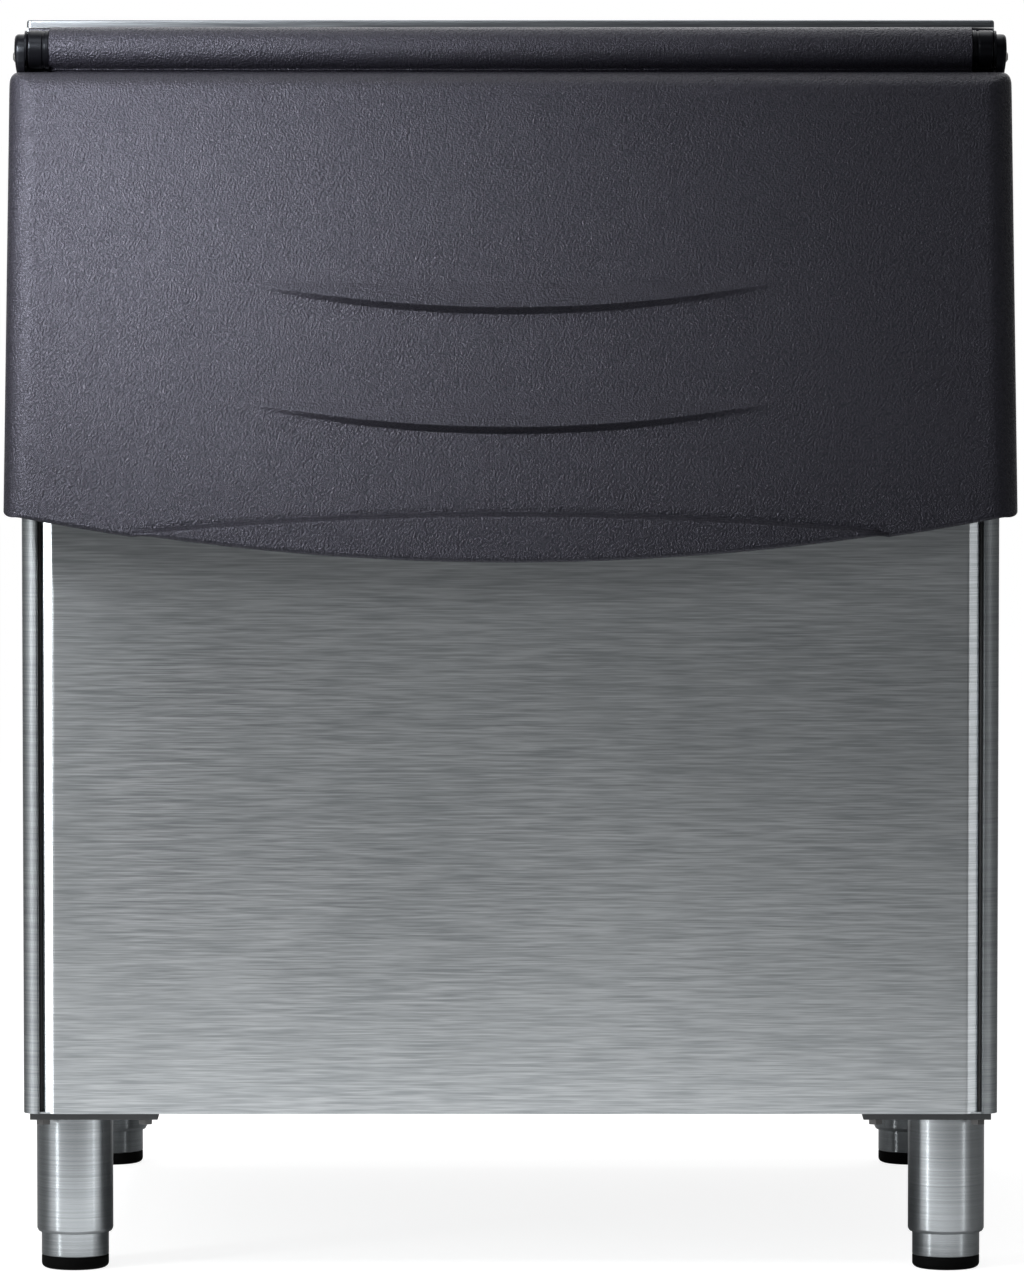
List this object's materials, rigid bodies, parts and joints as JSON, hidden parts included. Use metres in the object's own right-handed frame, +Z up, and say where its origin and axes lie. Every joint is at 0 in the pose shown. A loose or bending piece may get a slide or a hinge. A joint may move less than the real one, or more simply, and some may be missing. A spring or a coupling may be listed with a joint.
{
  "type": "ice storage bin",
  "caption": "Insulated ice storage bin on adjustable legs, with a sloping lift-up door, an open top for an ice machine and a floor drain.",
  "frame": {"origin": "centre of the bin's outline at floor level, under the feet", "axes": "+Z up, -Y out of the front through the door, +X to the right of someone facing the door"},
  "size_m": [0.7862, 0.8194, 0.98],
  "materials": {
    "brushed_stainless": "satin",
    "galvanised_steel": "matte",
    "textured_black_plastic": "satin",
    "glossy_black_plastic": "gloss",
    "white_liner_plastic": "satin",
    "insulating_foam": "matte",
    "gasket_rubber": "matte",
    "foot_pad_rubber": "satin",
    "zinc_fastener": "satin"
  },
  "bodies": {
    "cabinet": {"front_panel": "brushed_stainless", "side_panel_left": "brushed_stainless", "side_panel_right": "brushed_stainless", "back_panel": "galvanised_steel", "base_pan": "galvanised_steel", "top_frame": "brushed_stainless", "bin_liner": "white_liner_plastic", "opening_frame": "textured_black_plastic", "foam_insulation": "insulating_foam", "drain_spigot": "white_liner_plastic", "drain_nut": "white_liner_plastic", "drain_strainer": "white_liner_plastic", "hinge_bracket_left": "glossy_black_plastic", "hinge_pin_left": "zinc_fastener", "bracket_screw_left_1": "zinc_fastener", "bracket_screw_left_2": "zinc_fastener", "hinge_bracket_right": "glossy_black_plastic", "hinge_pin_right": "zinc_fastener", "bracket_screw_right_1": "zinc_fastener", "bracket_screw_right_2": "zinc_fastener", "leg_plate_front_left": "brushed_stainless", "leg_tube_front_left": "brushed_stainless", "leg_bolt_front_left_1": "zinc_fastener", "leg_bolt_front_left_2": "zinc_fastener", "leg_bolt_front_left_3": "zinc_fastener", "leg_bolt_front_left_4": "zinc_fastener", "leg_plate_front_right": "brushed_stainless", "leg_tube_front_right": "brushed_stainless", "leg_bolt_front_right_1": "zinc_fastener", "leg_bolt_front_right_2": "zinc_fastener", "leg_bolt_front_right_3": "zinc_fastener", "leg_bolt_front_right_4": "zinc_fastener", "leg_plate_back_left": "brushed_stainless", "leg_tube_back_left": "brushed_stainless", "leg_bolt_back_left_1": "zinc_fastener", "leg_bolt_back_left_2": "zinc_fastener", "leg_bolt_back_left_3": "zinc_fastener", "leg_bolt_back_left_4": "zinc_fastener", "leg_plate_back_right": "brushed_stainless", "leg_tube_back_right": "brushed_stainless", "leg_bolt_back_right_1": "zinc_fastener", "leg_bolt_back_right_2": "zinc_fastener", "leg_bolt_back_right_3": "zinc_fastener", "leg_bolt_back_right_4": "zinc_fastener"},
    "door": {"door_shell": "textured_black_plastic", "door_inner_panel": "textured_black_plastic", "door_core": "insulating_foam", "door_gasket": "gasket_rubber", "hinge_bushing_left": "glossy_black_plastic", "hinge_bushing_right": "glossy_black_plastic"},
    "foot_front_left": {"foot_sleeve_front_left": "brushed_stainless", "foot_pad_front_left": "foot_pad_rubber"},
    "foot_front_right": {"foot_sleeve_front_right": "brushed_stainless", "foot_pad_front_right": "foot_pad_rubber"},
    "foot_back_left": {"foot_sleeve_back_left": "brushed_stainless", "foot_pad_back_left": "foot_pad_rubber"},
    "foot_back_right": {"foot_sleeve_back_right": "brushed_stainless", "foot_pad_back_right": "foot_pad_rubber"}
  },
  "joints": [
    {"name": "door_hinge", "type": "hinge", "parent": "cabinet", "child": "door", "pos_m": [0, -0.23681, 0.957], "axis": [-1, 0, 0], "range_deg": [0, 160]},
    {"name": "foot_screw_front_left", "type": "slide", "parent": "cabinet", "child": "foot_front_left", "axis": [0, 0, -1], "range_m": [-0.01, 0.02]},
    {"name": "foot_screw_front_right", "type": "slide", "parent": "cabinet", "child": "foot_front_right", "axis": [0, 0, -1], "range_m": [-0.01, 0.02]},
    {"name": "foot_screw_back_left", "type": "slide", "parent": "cabinet", "child": "foot_back_left", "axis": [0, 0, -1], "range_m": [-0.01, 0.02]},
    {"name": "foot_screw_back_right", "type": "slide", "parent": "cabinet", "child": "foot_back_right", "axis": [0, 0, -1], "range_m": [-0.01, 0.02]}
  ]
}
